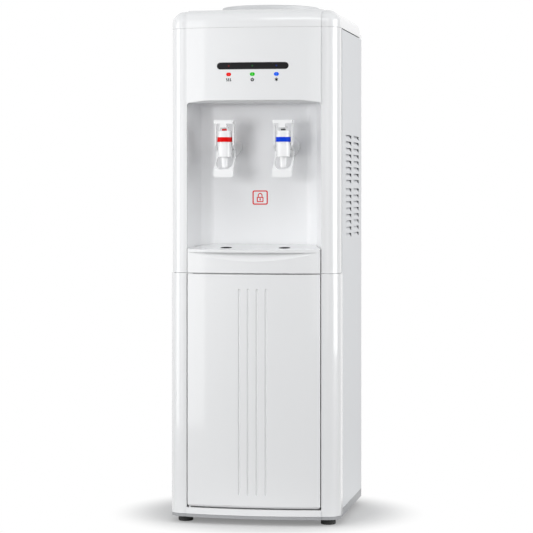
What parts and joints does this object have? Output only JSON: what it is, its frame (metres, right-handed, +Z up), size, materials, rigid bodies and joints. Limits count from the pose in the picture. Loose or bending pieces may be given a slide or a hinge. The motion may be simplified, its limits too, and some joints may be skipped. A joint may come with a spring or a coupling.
{
  "type": "water dispenser",
  "caption": "Free-standing hot and cold water dispenser with a bottle collar on top, a tap alcove with drip tray, and a storage cabinet with a door below",
  "frame": {"origin": "on the floor under the middle of the body", "axes": "+Z up, the front with the door and taps faces -Y, +X to the right seen from the front"},
  "size_m": [0.312, 0.3303, 0.9456],
  "materials": {
    "silver_paint": "satin",
    "white_plastic": "gloss",
    "liner_plastic": "satin",
    "ring_plastic": "satin",
    "tap_plastic": "gloss",
    "grey_plastic": "satin",
    "black_rubber": "matte",
    "black_plastic": "satin",
    "window_plastic": "gloss",
    "red_lens": "gloss",
    "green_lens": "gloss",
    "blue_lens": "gloss",
    "red_plastic": "gloss",
    "blue_plastic": "gloss",
    "green_plastic": "gloss",
    "board_laminate": "satin",
    "zinc_sheet": "satin",
    "plated_steel": "satin",
    "stainless_steel": "brushed",
    "black_paint": "satin",
    "copper_tube": "satin",
    "foam": "matte",
    "silicone_hose": "satin"
  },
  "bodies": {
    "cabinet": {"alcove_liner": "liner_plastic", "back_panel": "zinc_sheet", "base_tray": "grey_plastic", "bottle_collar": "ring_plastic", "cabinet_liner": "liner_plastic", "cold_hose": "silicone_hose", "cold_lens": "blue_lens", "cold_tank": "stainless_steel", "cold_tank_foam": "foam", "cold_tank_lid": "liner_plastic", "cold_tap_band": "blue_plastic", "cold_tap_body": "tap_plastic", "cold_tap_collar": "black_plastic", "cold_tap_spring": "plated_steel", "compressor": "black_paint", "compressor_grommets": "black_rubber", "condenser": "black_paint", "cord_gland": "black_plastic", "discharge_line": "copper_tube", "display_window": "window_plastic", "door_catch": "black_plastic", "drain_cap": "black_plastic", "evaporator_coil": "copper_tube", "feet": "black_rubber", "hot_hose": "silicone_hose", "hot_lens": "red_lens", "hot_tank": "stainless_steel", "hot_tank_jacket": "foam", "hot_tap_band": "red_plastic", "hot_tap_body": "tap_plastic", "hot_tap_spring": "plated_steel", "indicator_board": "board_laminate", "left_side_panel": "silver_paint", "link_hose": "silicone_hose", "liquid_line": "copper_tube", "lower_frame": "white_plastic", "machine_deck": "zinc_sheet", "panel_screws": "plated_steel", "power_lens": "green_lens", "right_side_panel": "silver_paint", "suction_line": "copper_tube", "switch_plate": "black_plastic", "tank_shelf": "zinc_sheet", "tap_bonnets": "tap_plastic", "tap_nuts": "liner_plastic", "top_cover": "white_plastic", "upper_fascia": "white_plastic"},
    "door": {"door_panel": "white_plastic", "door_liner": "liner_plastic", "door_hinge_pins": "plated_steel", "door_strike": "plated_steel"},
    "drip_tray": {"drip_tray": "white_plastic"},
    "drip_grille": {"drip_grille": "white_plastic"},
    "hot_lever": {"hot_tap_lever": "tap_plastic"},
    "cold_lever": {"cold_tap_lever": "tap_plastic"},
    "hot_stem": {"hot_tap_stem": "tap_plastic"},
    "cold_stem": {"cold_tap_stem": "tap_plastic"},
    "hot_latch": {"hot_tap_latch": "red_plastic"},
    "heating_rocker": {"heating_switch": "red_plastic"},
    "cooling_rocker": {"cooling_switch": "green_plastic"}
  },
  "joints": [
    {"name": "door_hinge", "type": "hinge", "parent": "cabinet", "child": "door", "pos_m": [-0.1174, -0.15139, 0.24], "axis": [0, 0, -1], "range_deg": [0, 105]},
    {"name": "tray_slide", "type": "slide", "parent": "cabinet", "child": "drip_tray", "axis": [0, -1, 0], "range_m": [0, 0.07]},
    {"name": "cover_lift", "type": "slide", "parent": "drip_tray", "child": "drip_grille", "axis": [0, 0, 1], "range_m": [0, 0.03]},
    {"name": "hot_lever_hinge", "type": "hinge", "parent": "cabinet", "child": "hot_lever", "pos_m": [-0.0537, -0.158, 0.7172], "axis": [1, 0, 0], "range_deg": [0, 7]},
    {"name": "hot_stem_slide", "type": "slide", "parent": "cabinet", "child": "hot_stem", "axis": [0, 0, 1], "range_m": [0, 0.00177], "stiffness_N_per_m": 1600, "deforming": ["hot_tap_spring"]},
    {"name": "cold_lever_hinge", "type": "hinge", "parent": "cabinet", "child": "cold_lever", "pos_m": [0.0537, -0.158, 0.7172], "axis": [1, 0, 0], "range_deg": [0, 7]},
    {"name": "cold_stem_slide", "type": "slide", "parent": "cabinet", "child": "cold_stem", "axis": [0, 0, 1], "range_m": [0, 0.00177], "stiffness_N_per_m": 1600, "deforming": ["cold_tap_spring"]},
    {"name": "child_lock_slide", "type": "slide", "parent": "cabinet", "child": "hot_latch", "axis": [0, 1, 0], "range_m": [0, 0.002], "stiffness_N_per_m": 250},
    {"name": "heating_rocker_pin", "type": "hinge", "parent": "cabinet", "child": "heating_rocker", "pos_m": [-0.02, 0.142, 0.842], "axis": [-1, 0, 0], "range_deg": [0, 14]},
    {"name": "cooling_rocker_pin", "type": "hinge", "parent": "cabinet", "child": "cooling_rocker", "pos_m": [0.02, 0.142, 0.842], "axis": [-1, 0, 0], "range_deg": [0, 14]}
  ],
  "couplings": [
    {"joint": "hot_lever_hinge", "follows": "hot_stem_slide", "rad_per_m": 69},
    {"joint": "cold_lever_hinge", "follows": "cold_stem_slide", "rad_per_m": 69}
  ]
}
